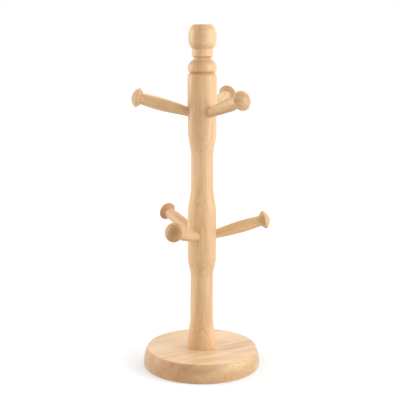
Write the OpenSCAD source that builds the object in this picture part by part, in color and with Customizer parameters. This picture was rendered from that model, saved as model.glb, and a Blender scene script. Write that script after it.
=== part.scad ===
// Mug tree of turned beech: a disc base, a profiled post with a ball finial and
// two tiers of three upswept pegs with button ends.
// The origin is the centre of the underside, +Z runs up the post and +X runs
// along the first lower peg. Every profile is a list of [radius, height] points.

/* [Base] */
// Diameter of the disc at its widest
base_d = 139.6; // [120:0.2:180]
// Thickness of the disc
base_h = 22; // [18:0.5:26]
// Radius of the bulge, seen from the side
base_bulge_r = 38; // [30:0.5:80]
// Height up to which the side stands upright
base_upright_z = 4.4; // [3.2:0.2:6]
// Rounding of the top edge
base_edge_r = 1.2; // [0.5:0.1:3]
// Rounding of the bottom edge
base_foot_r = 1.6; // [0.5:0.1:3]

/* [Post] */
// Overall height of the mug tree
total_h = 404.2; // [400:0.2:406]
// Diameter of the foot where it meets the base
foot_d = 35.6; // [32:0.2:40]
// Height at which the foot starts to narrow
foot_top_z = 27; // [27:1:40]
// Height over which the foot narrows into the lower waist
foot_blend = 32; // [20:1:50]
// Diameter of the two slim waists
waist_d = 27; // [24:0.2:29]
// Diameter of the two tiers that carry the pegs
tier_d = 34.2; // [32:0.2:38]
// Height of the lower tier's lower end
lower_tier_z = 134; // [130:1:140]
// Height of the lower tier's upper end
lower_tier_top_z = 186; // [180:1:190]
// Height of the upper tier's lower end
upper_tier_z = 283; // [278:1:286]
// Height over which a waist widens into the lower tier
lower_widening = 27; // [15:1:35]
// Height over which the lower tier narrows into a waist
lower_narrowing = 32; // [15:1:40]
// Height over which a waist widens into the upper tier
upper_widening = 30; // [15:1:45]

/* [Finial] */
// Height of the V-groove between the upper tier and the bead
groove_z = 350; // [348:0.5:350]
// Diameter at the bottom of the V-groove
groove_d = 28.4; // [26:0.2:29]
// Diameter of the bead at its widest
bead_d = 33.8; // [33:0.2:38]
// Height at which the bead is widest
bead_z = 355.6; // [355:0.2:357]
// Diameter of the neck above the bead
neck_d = 20; // [16:0.5:21]
// Height of the neck's narrowest circle
neck_z = 366.3; // [366:0.1:367]
// Diameter of the collar under the ball
collar_d = 24.3; // [23.5:0.1:28]
// Diameter of the ball at its widest
ball_d = 32.6; // [30:0.2:38]
// Height at which the ball is widest
ball_z = 389; // [388:0.5:390]

/* [Pegs] */
// Height at which the lower tier's peg axes cross the post's axis
lower_axis_z = 155.5; // [150:0.5:165]
// Height at which the upper tier's peg axes cross the post's axis
upper_axis_z = 300.5; // [296:0.5:315]
// Upward slope of every peg, in degrees
peg_rise = 15.8; // [5:0.1:25]
// Diameter of the peg's straight end, which is glued into the post
spigot_d = 11; // [8:0.5:12]
// Diameter at the swell of the peg
swell_d = 14.9; // [13:0.1:18]
// Diameter of the peg just behind its button
shank_d = 12.9; // [10:0.1:13]
// Diameter of the button
button_d = 22.5; // [21:0.1:25]
// Distance from the post's axis to the tip of the peg, along the peg
peg_reach = 84.2; // [75:0.1:100]

/* [Joints] */
// Diameter of the tenon under the post
tenon_d = 20; // [16:1:24]
// Length of the tenon
tenon_len = 12.8; // [8:0.1:13]
// Gap left for glue round a tenon or a spigot
glue_gap = 0.05; // [0.02:0.01:0.2]
// Distance from the post's axis to the bottom of a peg socket
socket_end = 5; // [4:0.1:8]
// End gap left under a tenon and behind a spigot
end_gap = 0.3; // [0.1:0.1:1]
// Small bevel on the ends of a tenon and of a spigot
joint_bevel = 0.8; // [0.2:0.1:1.5]

/* [Screw] */
// Thread diameter of the wood screw
screw_d = 5; // [4:0.5:6]
// Length of the wood screw, head included
screw_len = 45; // [35:1:60]
// Diameter of the screw's countersunk head
head_d = 9.4; // [8:0.1:11]
// Depth of the screw's head inside the base
head_depth = 3; // [1:0.5:3]
// Distance from one turn of the thread to the next
pitch = 2.4; // [2:0.1:3.2]

/* [Hidden] */

$fn = 96;
beech = "#E6C59B";
beech_turned = "#DDB98C";
zinc = "#B9BDC2";
overrun = 1;                       // cutters run this far past a face
pegs_per_tier = 3;
peg_step = 360 / pegs_per_tier;
tier_axis_z = [lower_axis_z, upper_axis_z];
tenon_z = base_h - tenon_len;      // height of the tenon's lower end
mortise_z = tenon_z - end_gap;     // height of the mortise's floor

// ---- Curves: each gives a list of points, start and end included ----

// Arc of a circle from angle a0 to angle a1
function arc(centre, r, a0, a1, steps = 8) =
    [for (i = [0 : steps])
        let (a = a0 + (a1 - a0) * i / steps)
            centre + r * [cos(a), sin(a)]];

// S-shaped blend between two radii, level at both ends
function slope(r0, z0, r1, z1, steps = 12) =
    [for (i = [0 : steps])
        let (t = i / steps)
            [r0 + (r1 - r0) * (1 - cos(180 * t)) / 2, z0 + (z1 - z0) * t]];

// Part of a superellipse, from the share t0 to the share t1 of the way up
// from its widest circle at z0 to the pole at z1
function shoulder(r, z0, z1, power, t0, t1, steps = 10) =
    [for (i = [0 : steps])
        let (t = t0 + (t1 - t0) * i / steps)
            [r * pow(1 - pow(t, power), 1 / power), z0 + (z1 - z0) * t]];

// Share of that way at which the superellipse has narrowed to radius r_small
function shoulder_share(r, r_small, power) = pow(1 - pow(r_small / r, power), 1 / power);

// ---- Base: a faceplate-turned disc ----

// From below: a rounded foot, an upright stretch, the bulge, and a rounded
// top edge that the bulge runs into
module base_profile() {
    wide = base_d / 2;
    bulge_c = [wide - base_bulge_r, base_upright_z];
    edge_z = base_h - base_edge_r;
    edge_a = asin((edge_z - bulge_c[1]) / (base_bulge_r - base_edge_r));
    edge_x = bulge_c[0] + (base_bulge_r - base_edge_r) * cos(edge_a);
    polygon(concat(
        [[0, 0]],
        arc([wide - base_foot_r, base_foot_r], base_foot_r, -90, 0, 6),
        arc(bulge_c, base_bulge_r, 0, edge_a),
        arc([edge_x, edge_z], base_edge_r, edge_a, 90, 5),
        [[0, base_h]]));
}

// Blind mortise for the tenon, and the screw's hole and head recess
module base_cutter() {
    head_r = head_d / 2 + 0.1;         // a little play round the screw's head
    hole_r = screw_d / 2 + 0.25;       // and round its shank
    translate([0, 0, mortise_z])
        cylinder(r = tenon_d / 2 + glue_gap, h = base_h);
    translate([0, 0, -overrun])
        cylinder(r = hole_r, h = base_h);
    translate([0, 0, -overrun])
        cylinder(r = head_r, h = head_depth + overrun);
    translate([0, 0, head_depth])
        cylinder(r1 = head_r, r2 = hole_r, h = head_r - hole_r);
}

module base() {
    color(beech)
        difference() {
            rotate_extrude() base_profile();
            base_cutter();
        }
}

// ---- Post: column, bead and ball finial turned from one piece ----

// Tenon and foot, up to the lower waist. The foot flares a little more where
// it stands on the base, and the waist is slightly thicker below than above.
function foot_outline(tenon, foot, waist) =
    let (flare = 0.2, waist_flare = 0.45)
        concat(
            [[0, tenon_z], [tenon - joint_bevel, tenon_z], [tenon, tenon_z + joint_bevel]],
            [[tenon, base_h], [foot, base_h]],
            slope(foot - flare, foot_top_z, waist + waist_flare, foot_top_z + foot_blend));

// The two tiers and the waist between them
function column_outline(tier, waist) =
    concat(
        slope(waist, lower_tier_z - lower_widening, tier, lower_tier_z),
        slope(tier, lower_tier_top_z, waist, lower_tier_top_z + lower_narrowing),
        slope(waist, upper_tier_z - upper_widening, tier, upper_tier_z));

// Rounded end of the upper tier, V-groove, bead, neck and collar
function bead_outline(tier) =
    let (tier_edge = 5, bead_r = 8.8, neck_cove = 1.3,
         collar = collar_d / 2, collar_edge = 1.2, collar_z = neck_z + 1.6)
        concat(
            arc([tier - tier_edge, groove_z - tier_edge], tier_edge, 0, 60, 7),
            [[groove_d / 2, groove_z]],
            arc([bead_d / 2 - bead_r, bead_z], bead_r, -33, 68, 14),
            arc([neck_d / 2 + neck_cove, neck_z], neck_cove, 225, 135, 5),
            arc([collar - collar_edge, collar_z + collar_edge], collar_edge, -80, 0, 4));

// The ball is two superellipses that meet at its widest circle, and its top
// is cut flat
function ball_outline(ball) =
    let (low_half = 17, low_power = 2.2, high_half = 17.5, high_power = 2.6, flat_edge = 0.5,
         start = shoulder_share(ball, collar_d / 2, low_power),
         end = (total_h - flat_edge - ball_z) / high_half,
         flat_r = ball * pow(1 - pow(end, high_power), 1 / high_power))
        concat(
            shoulder(ball, ball_z, ball_z - low_half, low_power, start, 0),
            shoulder(ball, ball_z, ball_z + high_half, high_power, 0.08, end, 12),
            [[flat_r - flat_edge, total_h], [0, total_h]]);

module post_profile() {
    tier = tier_d / 2;
    waist = waist_d / 2;
    polygon(concat(
        foot_outline(tenon_d / 2, foot_d / 2, waist),
        column_outline(tier, waist),
        bead_outline(tier),
        ball_outline(ball_d / 2)));
}

// Children lie along a peg's own axis, drawn upwards from the point where that
// axis crosses the post's. The upper tier is turned by half a step.
module place_peg(tier, number) {
    turn = (number - 1 + tier / 2) * peg_step;
    translate([0, 0, tier_axis_z[tier]])
        rotate([0, 90 - peg_rise, turn])
            children();
}

module peg_socket() {
    translate([0, 0, socket_end])
        cylinder(d = spigot_d + 2 * glue_gap, h = tier_d);
}

// Pilot hole for the screw, as wide as its thread and a little deeper
module pilot_hole() {
    end_z = head_depth + screw_len + 1;
    translate([0, 0, tenon_z - overrun])
        cylinder(d = screw_d + 2 * glue_gap, h = end_z - tenon_z + overrun);
}

module post() {
    color(beech_turned)
        difference() {
            rotate_extrude() post_profile();
            for (tier = [0, 1], number = [1 : pegs_per_tier])
                place_peg(tier, number)
                    peg_socket();
            pilot_hole();
        }
}

// ---- Pegs: six alike, each with a button end ----

// Spigot, swell and shank. The taper begins just outside the post.
function peg_body(spigot, swell, shank, shank_end) =
    let (start = socket_end + end_gap, taper_z = 19, swell_z = 52)
        concat(
            [[0, start], [spigot - joint_bevel, start], [spigot, start + joint_bevel]],
            [for (i = [0 : 10])
                [spigot + (swell - spigot) * sin(9 * i), taper_z + (swell_z - taper_z) * i / 10]],
            [for (i = [1 : 7])
                [swell - (swell - shank) * (1 - cos(90 * i / 8)),
                 swell_z + (shank_end - swell_z) * i / 8]]);

// The button: a cove, a sloping inner face, a rounded rim and a domed end
module peg_profile() {
    shank = shank_d / 2;
    face_angle = 48;               // slope of the button's inner face
    cove = 1.5;
    rim = 2.3;                     // rounding of the button's edge
    dome = 13.5;                   // radius of the button's outer face
    dome_z = peg_reach - dome;
    rim_r = button_d / 2 - rim;
    rim_angle = acos(rim_r / (dome - rim));
    rim_z = dome_z + (dome - rim) * sin(rim_angle);
    face_r = rim_r + rim * cos(face_angle);
    face_z = rim_z - rim * sin(face_angle);
    corner_z = face_z - (face_r - shank) / tan(face_angle);
    shank_end = corner_z - cove * tan(face_angle / 2);
    polygon(concat(
        peg_body(spigot_d / 2, swell_d / 2, shank, shank_end),
        arc([shank + cove, shank_end], cove, 180, 180 - face_angle, 4),
        arc([rim_r, rim_z], rim, -face_angle, rim_angle, 10),
        arc([0, dome_z], dome, rim_angle, 90, 6)));
}

module peg(tier, number) {
    color(beech)
        place_peg(tier, number)
            rotate_extrude() peg_profile();
}

module peg_lower_1() { peg(0, 1); }
module peg_lower_2() { peg(0, 2); }
module peg_lower_3() { peg(0, 3); }
module peg_upper_1() { peg(1, 1); }
module peg_upper_2() { peg(1, 2); }
module peg_upper_3() { peg(1, 3); }

// ---- Screw: draws the tenon down into the base from below ----

// Each turn of the thread is a ring
module screw_profile() {
    head = head_d / 2;
    crest = screw_d / 2;
    core = crest * 0.68;
    head_rim = 0.4;                // straight edge round the head
    thread_start = 9;
    ridge = 1.4;                   // width of the thread at its root
    tip_len = 6;
    ridges = floor((screw_len - tip_len - thread_start) / pitch);
    polygon(concat(
        [[0, 0], [head, 0], [head, head_rim], [core, head - core + head_rim]],
        [for (i = [0 : ridges - 1])
            let (z = thread_start + i * pitch)
                each [[core, z], [crest, z + ridge / 2], [core, z + ridge]]],
        [[core, screw_len - tip_len], [0, screw_len]]));
}

// Cross-shaped recess for the driver
module driver_recess() {
    wing_len = 4.8;
    wing_w = 1.1;
    recess_depth = 2;
    for (turn = [0, 90])
        rotate([0, 0, turn])
            translate([-wing_len / 2, -wing_w / 2, -overrun])
                cube([wing_len, wing_w, recess_depth + overrun]);
}

module post_screw() {
    color(zinc)
        translate([0, 0, head_depth])
            difference() {
                rotate_extrude() screw_profile();
                driver_recess();
            }
}

base();
post();
post_screw();
peg_lower_1();
peg_lower_2();
peg_lower_3();
peg_upper_1();
peg_upper_2();
peg_upper_3();
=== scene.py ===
# %% [markdown]
# # A turned beech mug tree
#
# The mug tree is nine pieces of joinery: a disc base, one long turned post, six
# turned pegs and a wood screw that pulls the post down into the base. The packed
# CAD model is the frame: it fixes where each piece is and how big it is. This
# lesson models each piece again with a finer surface, gives it its wood, and
# lights it on white paper.

# %% Load the frame and keep its box
from math import acos, asin, atan2, cos, degrees, pi, radians, sin, tan

import bpy
from mathutils import Matrix, Vector


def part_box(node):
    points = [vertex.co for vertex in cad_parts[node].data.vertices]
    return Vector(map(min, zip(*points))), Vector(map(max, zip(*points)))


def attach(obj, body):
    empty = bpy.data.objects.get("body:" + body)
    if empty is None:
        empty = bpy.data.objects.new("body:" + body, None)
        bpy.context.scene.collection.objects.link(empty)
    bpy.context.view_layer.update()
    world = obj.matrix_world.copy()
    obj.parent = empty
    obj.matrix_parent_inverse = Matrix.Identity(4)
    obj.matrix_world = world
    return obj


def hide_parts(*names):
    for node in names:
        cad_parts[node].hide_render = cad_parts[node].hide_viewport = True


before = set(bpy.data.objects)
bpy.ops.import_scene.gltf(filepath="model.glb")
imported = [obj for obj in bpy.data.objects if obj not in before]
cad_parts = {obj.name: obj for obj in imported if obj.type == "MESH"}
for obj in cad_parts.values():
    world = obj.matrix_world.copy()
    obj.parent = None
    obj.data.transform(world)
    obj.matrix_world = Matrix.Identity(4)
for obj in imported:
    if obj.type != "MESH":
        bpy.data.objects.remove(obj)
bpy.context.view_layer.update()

# %% [markdown]
# ## Driving sizes
#
# Outer sizes are read from the frame, so they can't drift from the CAD model. The
# sizes inside an outline, such as a waist or a groove, are named once, where they
# are first needed, and every outline below is worked out from them. Blender works
# in metres, so each is a number of millimetres times MM.

# %% Sizes from the frame, and the joints' own sizes
MM = 0.001

BASE_LOW, BASE_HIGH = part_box("base")
POST_LOW, POST_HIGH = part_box("post")
SCREW_LOW, SCREW_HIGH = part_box("post_screw")

BASE_R = (BASE_HIGH.x - BASE_LOW.x) / 2
BASE_H = BASE_HIGH.z
TOTAL_H = POST_HIGH.z
TENON_Z = POST_LOW.z
TENON_R = 10 * MM
JOINT_BEVEL = 0.8 * MM             # leads a tenon or a spigot into its hole
END_GAP = 0.3 * MM                 # room for glue at the blind end of a hole
GLUE = 0.05 * MM                   # and round its sides

PEGS_PER_TIER = 3
PEG_STEP = 2 * pi / PEGS_PER_TIER
PEG_RISE = radians(15.8)
TIER_AXIS_Z = {"lower": 155.5 * MM, "upper": 300.5 * MM}
TIER_TURN = {"lower": 0.0, "upper": PEG_STEP / 2}
SPIGOT_R = 5.5 * MM
SOCKET_END = 5 * MM                # a socket stops this far from the post's axis

print("base", round(BASE_R / MM, 1), "mm in radius,", round(BASE_H / MM, 1), "mm thick;",
      "post ends at", round(TOTAL_H / MM, 1), "mm")

# %% [markdown]
# ## The camera
#
# The camera stands about a metre away at the height of the finial and looks down
# ten degrees, so the base's top shows as a narrow ellipse and the finial's top
# doesn't show. A long lens keeps the post's sides nearly parallel.

# %% Camera
VIEW_TURN = radians(-5.4)          # the viewer stands a little left of the -Y axis
VIEW_DISTANCE = 1.023
VIEW_HEIGHT = 0.3813
VIEW_PITCH = radians(9.98)
VIEW_ASIDE = radians(0.131)        # the post stands slightly right of the middle
VIEW_ROLL = radians(0.12)
LENS_MM = 79.34

view_axes = Matrix.Rotation(VIEW_TURN, 4, "Z")


def seen_from_camera(right, away, up):
    """A point given as the viewer sees it: right, away from the viewer, and up."""
    return view_axes @ Vector((right, away, up))


camera_data = bpy.data.cameras.new("camera")
camera_data.lens = LENS_MM
camera_data.sensor_width = 36
camera = bpy.data.objects.new("camera", camera_data)
bpy.context.scene.collection.objects.link(camera)
camera.matrix_world = (Matrix.Translation(seen_from_camera(0, -VIEW_DISTANCE, VIEW_HEIGHT))
                       @ Matrix.Rotation(VIEW_TURN + VIEW_ASIDE, 4, "Z")
                       @ Matrix.Rotation(pi / 2 - VIEW_PITCH, 4, "X")
                       @ Matrix.Rotation(VIEW_ROLL, 4, "Z"))
bpy.context.scene.camera = camera
print("camera at", [round(c, 3) for c in camera.location])

# %% [markdown]
# ## Nodes and colours
#
# Every material is a small tree of nodes. One helper adds a node, sets its options
# and values, and makes its links, so a material reads as a list of what feeds
# what. A second turns the colour that a maker would name, an sRGB hex value, into
# the linear one that a shader works in.

# %% Helpers for materials
def linear(hex_colour):
    """An sRGB hex colour as linear red, green, blue and full alpha."""
    parts = [int(hex_colour[i:i + 2], 16) / 255 for i in (1, 3, 5)]
    return [p / 12.92 if p <= 0.04045 else ((p + 0.055) / 1.055) ** 2.4 for p in parts] + [1]


def add_node(tree, kind, settings=None, **inputs):
    """Adds a node. An input is named as on the node with _ for a space, or by its number as
    in0. It is a value, a socket to link, or a node whose first output is linked."""
    node = tree.nodes.new("ShaderNode" + kind)
    for name, value in (settings or {}).items():
        setattr(node, name, value)
    for name, value in inputs.items():
        key = int(name[2:]) if name[2:].isdigit() else name.replace("_", " ")
        if isinstance(value, bpy.types.Node):
            value = value.outputs[0]
        if isinstance(value, bpy.types.NodeSocket):
            tree.links.new(value, node.inputs[key])
        else:
            node.inputs[key].default_value = value
    return node


def new_material(name):
    """An empty material and its tree."""
    material = bpy.data.materials.new(name)
    material.use_nodes = True
    material.node_tree.nodes.clear()
    return material, material.node_tree


print("mid grey, #808080, is", round(linear("#808080")[0], 2), "of white in linear light")


# %% Helpers for selecting
def deselect_all():
    if bpy.context.object and bpy.context.object.mode != "OBJECT":
        bpy.ops.object.mode_set(mode="OBJECT")
    bpy.ops.object.select_all(action="DESELECT")


def select_only(*objects):
    """Selects these objects and makes the first one active."""
    deselect_all()
    for obj in objects:
        obj.select_set(True)
    bpy.context.view_layer.objects.active = objects[0]


# %% [markdown]
# ## The floor and the backdrop
#
# The object stands on white studio paper, lit so that it is only just white
# beside the object, which leaves room for a shadow. Farther out the lamps reach it
# less, so there it gets a glow that rises with distance, and it runs into the
# backdrop with no edge. The backdrop is a dome that only the camera sees. A bigger
# lamp could light all of the paper, but it would also flatten the wood. Paper is
# matt, so a plain diffuse shader is enough for it.
#
# Paper also throws light back up. Here it is hidden from light that bounces, and
# the room light below stands for it, because one number then sets how bright the
# undersides of the pegs and the bead are.

# %% Paper floor and white backdrop
PAPER_R = 4.0
WHITE = (1, 1, 1, 1)
GLOW_FROM, GLOW_TO = 0.25, 1.6     # metres from the object
GLOW_NEAR, GLOW_FAR = 0.07, 0.9

paper, tree = new_material("studio_paper_white")
paper_place = add_node(tree, "TexCoord").outputs["Object"]
distance = add_node(tree, "VectorMath", {"operation": "LENGTH"}, in0=paper_place).outputs["Value"]
glow_strength = add_node(tree, "MapRange", Value=distance, From_Min=GLOW_FROM, From_Max=GLOW_TO,
                         To_Min=GLOW_NEAR, To_Max=GLOW_FAR)
diffuse = add_node(tree, "BsdfDiffuse", Color=linear("#F0F0F0"))
glow = add_node(tree, "Emission", Color=WHITE, Strength=glow_strength)
add_node(tree, "OutputMaterial", Surface=add_node(tree, "AddShader", in0=diffuse, in1=glow))

deselect_all()
bpy.ops.mesh.primitive_circle_add(vertices=96, radius=PAPER_R, fill_type="NGON", location=(0, 0, 0))
floor = bpy.context.object
floor.name = "studio_floor"
floor.data.materials.append(paper)
floor.visible_diffuse = False

backdrop_white, tree = new_material("backdrop_white")
add_node(tree, "OutputMaterial", Surface=add_node(tree, "Emission", Color=WHITE, Strength=1.0))


def dome(name, radius, material):
    """A glowing ball round the object that casts no shadow and doesn't light the wood."""
    deselect_all()
    bpy.ops.mesh.primitive_uv_sphere_add(segments=48, ring_count=24, radius=radius, location=(0, 0, 0))
    ball = bpy.context.object
    ball.name = name
    ball.data.materials.append(material)
    ball.visible_diffuse = False
    ball.visible_transmission = False
    ball.visible_shadow = False
    return ball


backdrop = dome("studio_backdrop", PAPER_R, backdrop_white)
backdrop.visible_glossy = False
print("floor and backdrop,", PAPER_R, "m in radius")

# %% [markdown]
# The wood's satin sheen comes from what it mirrors: white paper behind, and a dim
# room in front. So a second, smaller dome glows behind the object and fades out
# towards the viewer. Only reflections see it, so the lamps and the room light
# alone still shape the light and shade.

# %% Dome for the reflections
SWEEP_R = 3.5
SWEEP_GLOW = 1.3
FADE_FROM, FADE_TO = -1.4, 1.6     # metres along Y, from dark to full glow

sweep_white, tree = new_material("sweep_white")
sweep_place = add_node(tree, "SeparateXYZ", Vector=add_node(tree, "TexCoord").outputs["Object"])
glow_strength = add_node(tree, "MapRange", Value=sweep_place.outputs["Y"], From_Min=FADE_FROM,
                         From_Max=FADE_TO, To_Min=0.0, To_Max=SWEEP_GLOW)
add_node(tree, "OutputMaterial", Surface=add_node(tree, "Emission", Color=WHITE, Strength=glow_strength))

sweep = dome("studio_sweep", SWEEP_R, sweep_white)
sweep.visible_camera = False
print("two domes,", PAPER_R, "and", SWEEP_R, "m in radius")

# %% [markdown]
# ## The lights
#
# Two tall softboxes stand at the sides and reach down to the floor, the right one
# stronger, so a turned piece is bright along both flanks and darker down its
# middle. A third, weaker, hangs above and behind, and lifts the base's top. Room
# light fills the shade, a little stronger from above than from below. One bright
# lamp overhead would be simpler, but it would leave the pegs' undersides black.

# %% Two side softboxes, one overhead, and room light
FLOOR_LIGHT, CEILING_LIGHT = 0.67, 0.85


def softbox(name, place, aim, size, power):
    """A rectangular area light that faces the aim point. Both points are given as the viewer
    sees them, in metres. Size is width and height, and power is in watts."""
    data = bpy.data.lights.new(name, "AREA")
    data.shape = "RECTANGLE"
    data.size, data.size_y = size
    data.energy = power
    lamp = bpy.data.objects.new(name, data)
    bpy.context.scene.collection.objects.link(lamp)
    spot, target = seen_from_camera(*place), seen_from_camera(*aim)
    turn = (target - spot).to_track_quat("-Z", "Y").to_matrix().to_4x4()
    lamp.matrix_world = Matrix.Translation(spot) @ turn


softbox("softbox_right", (1.1, -0.35, 0.5), (0, 0, 0.2), (0.7, 1.1), 10.2)
softbox("softbox_left", (-1.2, 0.1, 0.55), (0, 0, 0.2), (0.7, 1.1), 7.7)
softbox("softbox_top", (0.35, 0.5, 1.3), (0, 0, 0.0), (1.0, 0.8), 2.3)

world = bpy.data.worlds.new("room_light")
world.use_nodes = True
tree = world.node_tree
direction = add_node(tree, "SeparateXYZ", Vector=add_node(tree, "TexCoord").outputs["Object"])
strength = add_node(tree, "MapRange", Value=direction.outputs["Z"], From_Min=-1.0, To_Min=FLOOR_LIGHT,
                    To_Max=CEILING_LIGHT)
tree.nodes["Background"].inputs["Color"].default_value = linear("#FAFCFF")
tree.links.new(strength.outputs[0], tree.nodes["Background"].inputs["Strength"])
bpy.context.scene.world = world
bpy.context.scene.view_settings.view_transform = "Standard"

# %% [markdown]
# ## A lathe made of two edit-mode tools
#
# Every wooden piece is turned, so each one is half an outline spun round its own
# axis. The outline is drawn the way it would be by hand: one vertex, extruded
# from point to point. Spin then sweeps it a full turn, and merging the doubles
# closes the seam and the two poles. Modelling a piece from stacked cylinders
# would be quicker but would leave steps where the gouge leaves a curve.

# %% Curves for an outline
def arc(centre, radius, start, end, steps):
    """Points along an arc. Angles are in degrees from the radial direction."""
    turns = [radians(start + (end - start) * i / steps) for i in range(steps + 1)]
    return [(centre[0] + radius * cos(t), centre[1] + radius * sin(t)) for t in turns]


def slope(r0, z0, r1, z1, steps=28):
    """An S-shaped blend between two radii, level at both ends."""
    shares = [i / steps for i in range(steps + 1)]
    return [(r0 + (r1 - r0) * (1 - cos(pi * t)) / 2, z0 + (z1 - z0) * t) for t in shares]


def shoulder(radius, z0, z1, power, t0, t1, steps=20):
    """Part of a superellipse that starts at its widest circle, z0, and would close at z1."""
    shares = [t0 + (t1 - t0) * i / steps for i in range(steps + 1)]
    return [(radius * (1 - t ** power) ** (1 / power), z0 + (z1 - z0) * t) for t in shares]


def upright(radius, z0, z1, spacing=4 * MM):
    """Points up a straight side, near enough together for even faces."""
    steps = max(1, round(abs(z1 - z0) / spacing))
    return [(radius, z0 + (z1 - z0) * i / steps) for i in range(1, steps)]


print("a quarter circle in 4 steps has", len(arc((0, 0), 1, 0, 90, 4)), "points")


# %% The lathe
LATHE_STEPS = 128
SAME_POINT = 0.01 * MM             # outline points nearer than this are one
SAME_VERTEX = 0.004 * MM           # and so are vertices after the spin
SMOOTH_UP_TO = radians(32)         # edges that turn more than this stay crisp


def lathe(name, outline, steps=LATHE_STEPS):
    """Draws a half section by extruding one vertex, and spins it round Z."""
    points = [outline[0]]
    for point in outline[1:]:
        if max(abs(point[0] - points[-1][0]), abs(point[1] - points[-1][1])) > SAME_POINT:
            points.append(point)
    deselect_all()
    bpy.ops.mesh.primitive_plane_add(size=MM, location=(0, 0, 0))
    obj = bpy.context.object
    obj.name = obj.data.name = name
    bpy.ops.object.mode_set(mode="EDIT")
    bpy.ops.mesh.select_all(action="SELECT")
    bpy.ops.mesh.merge(type="CENTER")
    bpy.ops.transform.translate(value=(points[0][0], 0, points[0][1]))
    for (r0, z0), (r1, z1) in zip(points, points[1:]):
        bpy.ops.mesh.extrude_region_move(TRANSFORM_OT_translate={"value": (r1 - r0, 0, z1 - z0)})
    bpy.ops.mesh.select_all(action="SELECT")
    bpy.ops.mesh.spin(steps=steps, angle=2 * pi, center=(0, 0, 0), axis=(0, 0, 1))
    bpy.ops.mesh.select_all(action="SELECT")
    bpy.ops.mesh.remove_doubles(threshold=SAME_VERTEX)
    bpy.ops.mesh.normals_make_consistent(inside=False)
    bpy.ops.object.mode_set(mode="OBJECT")
    bpy.ops.object.shade_smooth_by_angle(angle=SMOOTH_UP_TO)
    print(name, len(points), "points in its outline,", len(obj.data.polygons), "faces")
    return obj


# %% [markdown]
# ## The base
#
# The base is a disc turned on a faceplate: a flat top with a small eased edge, a
# side that bulges out to an upright foot, and a flat underside. Its blind mortise
# takes the post's tenon, and the screw's head sits in a countersunk hole below.
# All of it is round about one axis, so one outline draws the whole piece, inside
# and out.

# %% Base
BULGE_R, UPRIGHT_Z = 38 * MM, 4.4 * MM
TOP_EASE, FOOT_EASE = 1.2 * MM, 1.6 * MM
MORTISE_Z = TENON_Z - END_GAP
HOLE_RIM = 0.3 * MM                # chamfer round the mortise and the screw's head
SCREW_R = 2.5 * MM
SCREW_HEAD_R = (SCREW_HIGH.x - SCREW_LOW.x) / 2
HEAD_DEPTH = SCREW_LOW.z
SHANK_ROOM, HEAD_ROOM = 0.25 * MM, 0.1 * MM


def flat_ring(r0, r1, z, steps=22):
    """Points straight across a flat face, the two ends left out."""
    return [(r0 + (r1 - r0) * i / steps, z) for i in range(1, steps)]


def base_outline():
    head_r, hole_r = SCREW_HEAD_R + HEAD_ROOM, SCREW_R + SHANK_ROOM
    mortise_r = TENON_R + GLUE
    edge_z = BASE_H - TOP_EASE
    edge_turn = asin((edge_z - UPRIGHT_Z) / (BULGE_R - TOP_EASE))
    edge_r = BASE_R - BULGE_R + (BULGE_R - TOP_EASE) * cos(edge_turn)
    outside = (flat_ring(head_r, BASE_R - FOOT_EASE, 0)
               + arc((BASE_R - FOOT_EASE, FOOT_EASE), FOOT_EASE, -90, 0, 10)
               + arc((BASE_R - BULGE_R, UPRIGHT_Z), BULGE_R, 0, degrees(edge_turn), 18)
               + arc((edge_r, edge_z), TOP_EASE, degrees(edge_turn), 90, 9)
               + flat_ring(edge_r, mortise_r, BASE_H))
    mortise = [(mortise_r, BASE_H - HOLE_RIM), (mortise_r, MORTISE_Z)]
    screw_hole = [(hole_r, MORTISE_Z), (hole_r, HEAD_DEPTH + head_r - hole_r), (head_r, HEAD_DEPTH),
                  (head_r, HOLE_RIM), (head_r + HOLE_RIM, 0)]
    return outside + mortise + screw_hole + outside[:1]


base = lathe("base_disc", base_outline())
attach(base, "root")
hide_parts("base")

# %% [markdown]
# ## The post
#
# The post is one length of beech turned between centres: tenon, flared foot, two
# slim waists, two thicker tiers, a V-groove, a bead, a neck, a collar and a ball
# whose top was cut flat when it left the lathe. A curve could be sculpted, but a
# turner copies a drawing, so the outline is a list of straight sides, S-shaped
# blends and arcs, from the tenon up.

# %% Outline of the post
FOOT_R, FOOT_TOP_Z, FOOT_BLEND = 17.8 * MM, 27 * MM, 32 * MM
FOOT_CHAMFER, FOOT_DRAFT = 0.25 * MM, 0.2 * MM
WAIST_R, WAIST_DRAFT = 13.5 * MM, 0.45 * MM       # the lower waist is thicker at its foot
TIER_R, TIER_EASE = 17.1 * MM, 5 * MM
LOWER_TIER_Z, LOWER_TIER_TOP_Z, UPPER_TIER_Z = 134 * MM, 186 * MM, 283 * MM
LOWER_WIDENING, LOWER_NARROWING, UPPER_WIDENING = 27 * MM, 32 * MM, 30 * MM
GROOVE_R, GROOVE_Z = 14.2 * MM, 350 * MM
BEAD_R, BEAD_Z, BEAD_ROUND = 16.9 * MM, 355.6 * MM, 8.8 * MM
NECK_R, NECK_Z, NECK_COVE = 10 * MM, 366.3 * MM, 1.3 * MM
COLLAR_R, COLLAR_Z, COLLAR_EASE = 12.15 * MM, 367.9 * MM, 1.2 * MM
BALL_R, BALL_Z = 16.3 * MM, 389 * MM
BALL_LOW, LOW_POWER = 17 * MM, 2.2
BALL_HIGH, HIGH_POWER = 17.5 * MM, 2.6
FLAT_EASE = 0.5 * MM
WAIST_STEPS = 12


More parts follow.
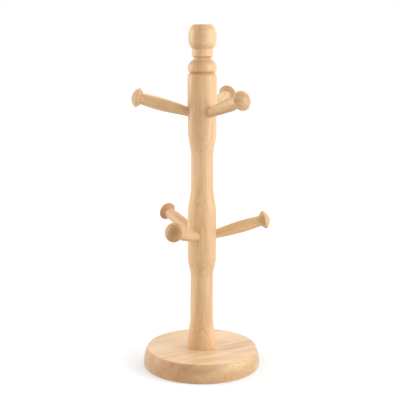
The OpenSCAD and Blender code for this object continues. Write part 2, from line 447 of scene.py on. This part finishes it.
def foot_outline():
    """The pilot hole, the tenon, the flared foot and the lower waist."""
    pilot_r, pilot_end = SCREW_R + GLUE, SCREW_HIGH.z + MM
    waist_z, waist_top_z = FOOT_TOP_Z + FOOT_BLEND, LOWER_TIER_Z - LOWER_WIDENING
    shares = [i / WAIST_STEPS for i in range(1, WAIST_STEPS)]
    return ([(0, pilot_end), (pilot_r, pilot_end), (pilot_r, TENON_Z), (TENON_R - JOINT_BEVEL, TENON_Z),
             (TENON_R, TENON_Z + JOINT_BEVEL), (TENON_R, BASE_H)]
            + [(FOOT_R - FOOT_CHAMFER, BASE_H), (FOOT_R, BASE_H + FOOT_CHAMFER)]
            + slope(FOOT_R - FOOT_DRAFT, FOOT_TOP_Z, WAIST_R + WAIST_DRAFT, waist_z)
            + [(WAIST_R + WAIST_DRAFT * (1 - t), waist_z + (waist_top_z - waist_z) * t) for t in shares])


def column_outline():
    """The lower tier, the upper waist and the upper tier."""
    waist_z, waist_top_z = LOWER_TIER_TOP_Z + LOWER_NARROWING, UPPER_TIER_Z - UPPER_WIDENING
    return (slope(WAIST_R, LOWER_TIER_Z - LOWER_WIDENING, TIER_R, LOWER_TIER_Z)
            + upright(TIER_R, LOWER_TIER_Z, LOWER_TIER_TOP_Z, 2 * MM)
            + slope(TIER_R, LOWER_TIER_TOP_Z, WAIST_R, waist_z)
            + upright(WAIST_R, waist_z, waist_top_z)
            + slope(WAIST_R, waist_top_z, TIER_R, UPPER_TIER_Z)
            + upright(TIER_R, UPPER_TIER_Z, GROOVE_Z - TIER_EASE, 2 * MM))


def finial_outline():
    """Groove, bead, neck, collar and ball. Each arc stops where it meets the next."""
    collar_share = (1 - (COLLAR_R / BALL_R) ** LOW_POWER) ** (1 / LOW_POWER)
    collar_top_z = BALL_Z - BALL_LOW * collar_share
    flat_share = (TOTAL_H - FLAT_EASE - BALL_Z) / BALL_HIGH
    flat_r = BALL_R * (1 - flat_share ** HIGH_POWER) ** (1 / HIGH_POWER)
    return (arc((TIER_R - TIER_EASE, GROOVE_Z - TIER_EASE), TIER_EASE, 0, 60, 12)
            + [(GROOVE_R, GROOVE_Z)]
            + arc((BEAD_R - BEAD_ROUND, BEAD_Z), BEAD_ROUND, -33, 68, 26)
            + arc((NECK_R + NECK_COVE, NECK_Z), NECK_COVE, 225, 135, 8)
            + arc((COLLAR_R - COLLAR_EASE, COLLAR_Z + COLLAR_EASE), COLLAR_EASE, -80, 0, 7)
            + upright(COLLAR_R, COLLAR_Z + COLLAR_EASE, collar_top_z, 1.5 * MM)
            + shoulder(BALL_R, BALL_Z, BALL_Z - BALL_LOW, LOW_POWER, collar_share, 0)
            + shoulder(BALL_R, BALL_Z, BALL_Z + BALL_HIGH, HIGH_POWER, 0.04, flat_share, 24)
            + arc((flat_r - FLAT_EASE, TOTAL_H - FLAT_EASE), FLAT_EASE, 40, 90, 3)
            + [(flat_r / 2, TOTAL_H), (0, TOTAL_H)])


post = lathe("post_turned", foot_outline() + column_outline() + finial_outline())

# %% [markdown]
# ## Drilling the peg sockets
#
# The sockets are drilled after turning, at a slant, so here too they are cut out
# afterwards, with a Boolean of six cylinders. Each points along its peg: out from
# the post's axis and up. The same placing is used for the drills here and for the
# pegs below, so a peg always lands in its own hole.

# %% Places of the pegs
def peg_places():
    """The node's name and the placing matrix of each peg. Its own Z runs outwards."""
    for tier in TIER_AXIS_Z:
        for number in range(PEGS_PER_TIER):
            turn = TIER_TURN[tier] + number * PEG_STEP
            place = (Matrix.Translation((0, 0, TIER_AXIS_Z[tier]))
                     @ Matrix.Rotation(turn, 4, "Z")
                     @ Matrix.Rotation(pi / 2 - PEG_RISE, 4, "Y"))
            yield "peg_" + tier + "_" + str(number + 1), place


def apply_place(obj, matrix):
    """Puts a piece in its place and bakes that place into its mesh."""
    select_only(obj)
    obj.matrix_world = matrix
    bpy.ops.object.transform_apply(location=True, rotation=True, scale=True)


def cut_away(obj, cutter):
    """Subtracts the cutter from the piece, and removes the cutter."""
    cut = obj.modifiers.new("cut", "BOOLEAN")
    cut.operation = "DIFFERENCE"
    cut.solver = "EXACT"
    cut.object = cutter
    select_only(obj)
    bpy.ops.object.modifier_apply(modifier=cut.name)
    bpy.data.objects.remove(cutter)


print("places for", [name for name, place in peg_places()])

# %% Sockets
DRILL_LEN = 30 * MM

drills = []
for name, place in peg_places():
    deselect_all()
    bpy.ops.mesh.primitive_cylinder_add(vertices=96, radius=SPIGOT_R + GLUE, depth=DRILL_LEN)
    drill = bpy.context.object
    apply_place(drill, place @ Matrix.Translation((0, 0, SOCKET_END + DRILL_LEN / 2)))
    drills.append(drill)
select_only(*drills)
bpy.ops.object.join()
cut_away(post, bpy.context.object)
bpy.ops.object.shade_smooth_by_angle(angle=SMOOTH_UP_TO)
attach(post, "root")
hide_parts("post")
print("post with sockets:", len(post.data.polygons), "faces")

# %% [markdown]
# ## The pegs
#
# A peg is turned in one piece: a straight spigot for the socket, a long swell
# like a cigar, and a button end that stops a mug's handle from sliding off. The
# button has a sloping inner face with a small cove, a rounded rim and a domed
# outer face. One peg is turned and copied six times, as they came off one lathe.

# %% Pegs
SWELL_R, SWELL_AT = 7.45 * MM, 52 * MM
SHANK_R, TAPER_FROM = 6.45 * MM, 19 * MM
BUTTON_R, PEG_REACH = 11.25 * MM, 84.2 * MM
RIM, DOME, COVE = 2.3 * MM, 13.5 * MM, 1.5 * MM
FACE_ANGLE = radians(48)
SWELL_STEPS, SHANK_STEPS, PEG_STEPS = 24, 15, 72


def peg_outline():
    start = SOCKET_END + END_GAP
    rim_r = BUTTON_R - RIM
    dome_z = PEG_REACH - DOME
    dome_angle = acos(rim_r / (DOME - RIM))
    rim_z = dome_z + (DOME - RIM) * sin(dome_angle)
    face_r, face_z = rim_r + RIM * cos(FACE_ANGLE), rim_z - RIM * sin(FACE_ANGLE)
    shank_end = face_z - (face_r - SHANK_R) / tan(FACE_ANGLE) - COVE * tan(FACE_ANGLE / 2)
    spigot = ([(0, start), (SPIGOT_R - JOINT_BEVEL, start), (SPIGOT_R, start + JOINT_BEVEL)]
              + upright(SPIGOT_R, start + JOINT_BEVEL, TAPER_FROM, 2 * MM))
    swell_shares = [i / SWELL_STEPS for i in range(SWELL_STEPS + 1)]
    swell = [(SPIGOT_R + (SWELL_R - SPIGOT_R) * sin(pi / 2 * t),
              TAPER_FROM + (SWELL_AT - TAPER_FROM) * t) for t in swell_shares]
    shank_shares = [i / SHANK_STEPS for i in range(1, SHANK_STEPS)]
    shank = [(SWELL_R - (SWELL_R - SHANK_R) * (1 - cos(pi / 2 * t)),
              SWELL_AT + (shank_end - SWELL_AT) * t) for t in shank_shares]
    return (spigot + swell + shank
            + arc((SHANK_R + COVE, shank_end), COVE, 180, 180 - degrees(FACE_ANGLE), 6)
            + arc((rim_r, rim_z), RIM, -degrees(FACE_ANGLE), degrees(dome_angle), 14)
            + arc((0, dome_z), DOME, degrees(dome_angle), 90, 12)[1:])


pattern_peg = lathe("peg_pattern", peg_outline(), steps=PEG_STEPS)
pegs = {}
for name, place in peg_places():
    peg = pattern_peg.copy()
    peg.data = pattern_peg.data.copy()
    peg.name = peg.data.name = name.replace("peg_", "peg_turned_")
    bpy.context.scene.collection.objects.link(peg)
    apply_place(peg, place)
    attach(peg, "root")
    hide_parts(name)
    pegs[name] = peg
bpy.data.objects.remove(pattern_peg)
print("pegs:", len(pegs))

# %% [markdown]
# ## The wood screw
#
# The screw draws the tenon down until the post's foot sits tight on the base. Its
# head lies sunk in the underside, with a cross recess for the driver. The blank is
# turned like the rest. Its thread is then rolled on by moving each point of the
# shank in or out, by how far it lies from the nearest turn of the helix, which
# keeps the mesh closed. A Screw modifier would leave open ends to sew up.

# %% Screw blank and thread
THREAD_PITCH, THREAD_DEPTH = 2.4 * MM, 0.8 * MM
THREAD_FROM, TIP_LEN = 12 * MM, 6 * MM
CREST_SHARPNESS = 1.8              # the flanks fill 1 / 1.8 of the pitch
HEAD_RIM = 0.4 * MM
CORE_R = SCREW_R - THREAD_DEPTH
TIP_STEPS, SCREW_STEPS = 20, 48

cone_z = SCREW_LOW.z + HEAD_RIM + SCREW_HEAD_R - CORE_R
tip_z = SCREW_HIGH.z - TIP_LEN
tip_shares = [i / TIP_STEPS for i in range(TIP_STEPS + 1)]
screw = lathe("screw_turned",
              [(0, SCREW_LOW.z), (SCREW_HEAD_R, SCREW_LOW.z), (SCREW_HEAD_R, SCREW_LOW.z + HEAD_RIM),
               (CORE_R, cone_z), (CORE_R, THREAD_FROM)]
              + upright(CORE_R, THREAD_FROM, tip_z, 0.2 * MM)
              + [(CORE_R * (1 - t), tip_z + TIP_LEN * t) for t in tip_shares], steps=SCREW_STEPS)
for vertex in screw.data.vertices:
    x, y, z = vertex.co
    if z > THREAD_FROM + 0.1 * MM:
        turns = (z - THREAD_FROM) / THREAD_PITCH - atan2(y, x) / (2 * pi)
        off_crest = abs(turns - round(turns)) * 2
        grow = 1 + max(0.0, 1 - off_crest * CREST_SHARPNESS) * THREAD_DEPTH / CORE_R
        vertex.co = (x * grow, y * grow, z)
print("thread:", round((tip_z + TIP_LEN - THREAD_FROM) / THREAD_PITCH, 1), "turns")

# %% Cross recess
RECESS_LEN, RECESS_W, RECESS_DEPTH = 4.8 * MM, 1.1 * MM, 2 * MM

for turn in (0, pi / 2):
    deselect_all()
    bpy.ops.mesh.primitive_cube_add(size=1, location=(0, 0, SCREW_LOW.z))
    wing = bpy.context.object
    wing.dimensions = (RECESS_LEN, RECESS_W, 2 * RECESS_DEPTH)
    wing.rotation_euler = (0, 0, turn)
    bpy.ops.object.transform_apply(location=True, rotation=True, scale=True)
    cut_away(screw, wing)
bpy.ops.object.shade_smooth_by_angle(angle=SMOOTH_UP_TO)
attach(screw, "root")
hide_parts("post_screw")
print("screw:", len(screw.data.polygons), "faces")

# %% [markdown]
# ## Beech
#
# Beech is a pale, pinkish blond wood with faint growth rings and short dark
# flecks, the rays, which are thin upright sheets that run from the tree's centre
# outwards. Bare and finely sanded it has a low satin sheen. It is made here as a
# solid, in millimetres of the log that the piece was cut from: rings are the
# distance from the log's centre, rays follow the angle round it, and fibres run
# along it. A picture wrapped round each piece would be simpler, but this way every
# face shows the right figure by itself: straight lines along a side, arcs where a
# curve cuts the rings, and darker, warmer end grain.

# %% Shades of beech
LATE_WOOD = "#DCC9B2"              # each of these multiplies the plain wood's colour
PATCH_SHADE = "#EFE4D8"
FIBRE_SHADE = "#E3D4C4"
RAY_SHADE = "#CDB8A4"
END_SHADE = "#E4D4C6"
BASE_END_SHADE = "#E2CEC3"
# Each peg came from a stick of its own: its plain colour, then its end grain. The last
# peg's end grain is also tinted a paler, cooler grey, a painted reflection of cool light.
PEG_STICKS_AND_PAINTED_REFLECTION = (("#F0CC9A", "#EEEDEA"), ("#DCB384", "#E4D4C6"), ("#DFB985", "#E0D5CD"),
              ("#DCB788", "#EEEADF"), ("#EDC693", "#D6CBBB"), ("#E0BB89", "#F0EBEE"))
print("sticks for", len(PEG_STICKS_AND_PAINTED_REFLECTION), "pegs")

# %% [markdown]
# ## Where a piece lay in its log
#
# Every figure needs the same thing first: where a point of the piece lay in the
# log, in millimetres, with Z along the grain. A Mapping node turns and moves the
# piece into the log. A trunk is never straight, so a slow noise then bends it, and
# the rings wander by about 1 mm over 40 mm.

# %% Place in the log
WANDER_WIDE, WANDER_LONG, WANDER_BY = 40, 110, 6


def log_place(tree, place, log_centre):
    """The place in a straight log, the place in a bent one, and the distance from its centre."""
    into_log = place.to_3x3().transposed()
    offset = into_log @ (-place.translation / MM) - Vector((*log_centre, 0))
    coordinates = add_node(tree, "TexCoord").outputs["Object"]
    log = add_node(tree, "Mapping", {"vector_type": "POINT"}, Vector=coordinates,
                   Scale=(1 / MM, 1 / MM, 1 / MM), Rotation=into_log.to_euler(), Location=offset)
    wander_place = add_node(tree, "VectorMath", {"operation": "DIVIDE"}, in0=log,
                            in1=(WANDER_WIDE, WANDER_WIDE, WANDER_LONG))
    wander = add_node(tree, "TexNoise", Vector=wander_place, Scale=1.0, Detail=1.0).outputs["Color"]
    aside = add_node(tree, "VectorMath", {"operation": "SUBTRACT"}, in0=wander, in1=(0.5, 0.5, 0.5))
    bent = add_node(tree, "VectorMath", {"operation": "MULTIPLY_ADD"}, in0=aside,
                    in1=(WANDER_BY, WANDER_BY, 0), in2=log)
    across = add_node(tree, "VectorMath", {"operation": "MULTIPLY"}, in0=bent, in1=(1, 1, 0))
    radius = add_node(tree, "VectorMath", {"operation": "LENGTH"}, in0=across).outputs["Value"]
    return log, bent, radius


# %% [markdown]
# ## The figure of beech
#
# Rings, rays, fibres and patches are each a number from 0 to 1 that says how dark
# the figure is at a point. A year's growth darkens softly to a thin line of late
# wood and then ends at once, and no two years are alike. Rays are thin sheets that
# stand along the grain and reach in towards the centre.

# %% Growth rings
YEAR_TONE = ((0.0, 0.0), (0.5, 0.18), (0.86, 1.0), (1.0, 0.0))     # darkness through one year
YEAR_CHANGE = 0.7                  # how much the strength changes from one year to the next


def growth_rings(tree, radius, ring_width):
    """How dark the rings are, from 0 to 1."""
    years = add_node(tree, "Math", {"operation": "DIVIDE"}, in0=radius, in1=ring_width)
    year_share = add_node(tree, "Math", {"operation": "FRACT"}, in0=years)
    tone = add_node(tree, "ValToRGB", Fac=year_share)
    for position, _ in YEAR_TONE[1:-1]:
        tone.color_ramp.elements.new(position)
    for element, (_, level) in zip(tone.color_ramp.elements, YEAR_TONE):
        element.color = (level, level, level, 1)
    slow_years = add_node(tree, "Math", {"operation": "MULTIPLY"}, in0=years, in1=YEAR_CHANGE)
    year_place = add_node(tree, "CombineXYZ", X=slow_years)
    noise = add_node(tree, "TexNoise", Vector=year_place, Scale=1.0, Detail=1.0)
    strength = add_node(tree, "MapRange", Value=noise, From_Min=0.3, From_Max=0.65, To_Min=0.25)
    return add_node(tree, "Math", {"operation": "MULTIPLY"}, in0=tone, in1=strength)


# %% Rays
RAY_WIDE, RAY_DEEP, RAY_LONG = 0.55, 9.0, 3.2      # millimetres, as in the real wood


def ray_flecks(tree, bent, radius, log_centre):
    """Where the rays are, from 0 to 1."""
    split = add_node(tree, "SeparateXYZ", Vector=bent).outputs
    angle = add_node(tree, "Math", {"operation": "ARCTAN2"}, in0=split["Y"], in1=split["X"])
    around = add_node(tree, "Math", {"operation": "MULTIPLY"}, in0=angle, in1=Vector(log_centre).length)
    polar = add_node(tree, "CombineXYZ", X=around, Y=radius, Z=split["Z"])
    ray_place = add_node(tree, "VectorMath", {"operation": "DIVIDE"}, in0=polar,
                         in1=(RAY_WIDE, RAY_DEEP, RAY_LONG))
    noise = add_node(tree, "TexNoise", Vector=ray_place, Scale=1.0, Detail=1.0)
    return add_node(tree, "MapRange", Value=noise, From_Min=0.58, From_Max=0.72)


# %% [markdown]
# A real fibre is under 0.1 mm across, too fine to show, so fibres are drawn as
# streaks several times coarser. Wider patches of paler and darker wood lie under
# them. End grain drinks in light, so it is darker where the surface faces along
# the fibres.

# %% Fibres, patches and end grain
FIBRE_WIDE, FIBRE_LONG = 0.7, 60
PATCH_WIDE, PATCH_LONG = 11, 120


def fibre_noise(tree, log):
    """Fine streaks along the grain. They shade the wood, and they are felt in its surface."""
    fibre_place = add_node(tree, "VectorMath", {"operation": "DIVIDE"}, in0=log,
                           in1=(FIBRE_WIDE, FIBRE_WIDE, FIBRE_LONG))
    return add_node(tree, "TexNoise", Vector=fibre_place, Scale=1.0, Detail=3.0, Roughness=0.6)


def dark_patches(tree, log):
    """Where the wood is a little darker, from 0 to 1."""
    patch_place = add_node(tree, "VectorMath", {"operation": "DIVIDE"}, in0=log,
                           in1=(PATCH_WIDE, PATCH_WIDE, PATCH_LONG))
    noise = add_node(tree, "TexNoise", Vector=patch_place, Scale=1.0, Detail=2.0)
    return add_node(tree, "MapRange", Value=noise, From_Min=0.35, From_Max=0.65, To_Min=1.0, To_Max=0.0)


def end_grain_share(tree, place):
    """How nearly the surface faces along the fibres: 0 on a side, 1 on an end."""
    normal = add_node(tree, "NewGeometry").outputs["Normal"]
    grain = place.to_3x3() @ Vector((0, 0, 1))
    facing = add_node(tree, "VectorMath", {"operation": "DOT_PRODUCT"}, in0=normal, in1=grain)
    end_facing = add_node(tree, "Math", {"operation": "ABSOLUTE"}, in0=facing.outputs["Value"])
    return add_node(tree, "MapRange", Value=end_facing, From_Min=0.3, From_Max=0.9)


# %% [markdown]
# ## The whole material
#
# Each figure multiplies the plain colour by its own shade. How strongly it shows is
# a pair of numbers: on a face along the grain, and on end grain. The wood is sanded
# smooth but not sealed, which gives a soft, broad highlight and a pale haze of
# loose fibres where a side turns away.

# %% Beech material
RAY_DEPTH, FIBRE_DEPTH = (0.28, 0.1), (0.5, 0.15)
SANDING_DEPTH = 0.05 * MM          # sanding marks, drawn deeper than real so that they show
SMOOTHEST, ROUGHEST = 0.34, 0.44   # satin
RAY_SINK = -0.35                   # rays are sanded lower than fibres by this share
WOOD_IOR, HAZE, HAZE_ROUGHNESS = 1.5, 0.25, 0.4


def beech(name, place, log_centre, wood, end_tone_and_reflection, ring_width, ring_depth):
    """Bare sanded beech. place is the matrix whose Z runs along the grain, and log_centre is
    where, in millimetres across the grain, the tree's centre lies. wood is its plain colour,
    and end_tone_and_reflection is how its end grain darkens it. For the last peg it also
    holds a painted reflection of cool light."""
    material, tree = new_material(name)
    log, bent, radius = log_place(tree, place, log_centre)
    ring = growth_rings(tree, radius, ring_width)
    ray = ray_flecks(tree, bent, radius, log_centre)
    fibre = fibre_noise(tree, log)
    streak = add_node(tree, "MapRange", Value=fibre, From_Min=0.35, From_Max=0.6, To_Min=1.0, To_Max=0.0)
    end_grain = end_grain_share(tree, place)

    colour = linear(wood)
    for figure, shade, (along, on_end) in ((dark_patches(tree, log), PATCH_SHADE, (1, 1)),
                                           (ring, LATE_WOOD, ring_depth),
                                           (streak, FIBRE_SHADE, FIBRE_DEPTH),
                                           (ray, RAY_SHADE, RAY_DEPTH),
                                           (end_grain, end_tone_and_reflection, (1, 1))):
        depth = add_node(tree, "MapRange", Value=end_grain, To_Min=along, To_Max=on_end)
        share = add_node(tree, "Math", {"operation": "MULTIPLY"}, in0=figure, in1=depth)
        colour = add_node(tree, "Mix", {"data_type": "RGBA", "blend_type": "MULTIPLY"}, in0=share,
                          in6=colour, in7=linear(shade)).outputs[2]

    rough = add_node(tree, "MapRange", Value=fibre, From_Min=0.3, From_Max=0.7, To_Min=SMOOTHEST,
                     To_Max=ROUGHEST)
    relief = add_node(tree, "Math", {"operation": "MULTIPLY_ADD"}, in0=ray, in1=RAY_SINK, in2=fibre)
    bump = add_node(tree, "Bump", Strength=0.35, Distance=SANDING_DEPTH, Height=relief)
    surface = add_node(tree, "BsdfPrincipled", Base_Color=colour, Roughness=rough, Normal=bump,
                       IOR=WOOD_IOR, Sheen_Weight=HAZE, Sheen_Roughness=HAZE_ROUGHNESS)
    add_node(tree, "OutputMaterial", Surface=surface)
    return material


# %% [markdown]
# The base is a flat-sawn board: the tree's centre lay below it, off to one side,
# so its rings show as long stripes on top. The post's tree centre lay behind it,
# so its front shows nested arcs where its thickness changes. Every peg came from
# its own place in the tree, so no two buttons show the same arcs.

# %% Wood for each piece
BASE_GRAIN_TURN, BASE_GRAIN_DIP = radians(30.6), radians(2.2)
POST_GRAIN_LEAN = radians(0.6)

base_grain = Matrix.Rotation(BASE_GRAIN_TURN, 4, "Z") @ Matrix.Rotation(pi / 2 + BASE_GRAIN_DIP, 4, "Y")
base.data.materials.append(beech("beech_base", base_grain, (170, -62), "#E7C596", BASE_END_SHADE,
                                 ring_width=2.4, ring_depth=(0.6, 0.2)))
post_grain = Matrix.Rotation(POST_GRAIN_LEAN, 4, "X")
post.data.materials.append(beech("beech_post", post_grain, (6, 71), "#ECC798", END_SHADE,
                                 ring_width=2.3, ring_depth=(0.4, 0.7)))
for number, (name, place) in enumerate(peg_places()):
    peg_log = (26 + 4 * number, -26 + 17 * (2 - number % PEGS_PER_TIER))
    # the last peg's end tone also holds a painted reflection of cool light
    plain, peg_end_tone_and_reflection = PEG_STICKS_AND_PAINTED_REFLECTION[number]
    pegs[name].data.materials.append(beech("beech_" + name, place, peg_log, plain, peg_end_tone_and_reflection,
                                           ring_width=3.6, ring_depth=(0.4, 0.75)))
print("beech on", 2 + len(pegs), "pieces")

# %% [markdown]
# ## Zinc-plated steel
#
# The screw is steel with a thin bright zinc plating, which is grey, slightly cool
# and not quite a mirror. The plating's grains are finer than a tenth of a
# millimetre, so they are drawn about 1 mm across to show as a faint unevenness.

# %% Zinc plating
PLATING_GRAINS = 900.0             # to the metre, so each is about 1.1 mm across

zinc, tree = new_material("steel_zinc_plated")
zinc_place = add_node(tree, "TexCoord").outputs["Object"]
shimmer = add_node(tree, "TexNoise", Vector=zinc_place, Scale=PLATING_GRAINS)
plating_rough = add_node(tree, "MapRange", Value=shimmer, To_Min=0.28, To_Max=0.42)
plating = add_node(tree, "BsdfPrincipled", Base_Color=linear("#C9CCD1"), Metallic=1.0,
                   Roughness=plating_rough)
add_node(tree, "OutputMaterial", Surface=plating)
screw.data.materials.append(zinc)
print("zinc on the screw")
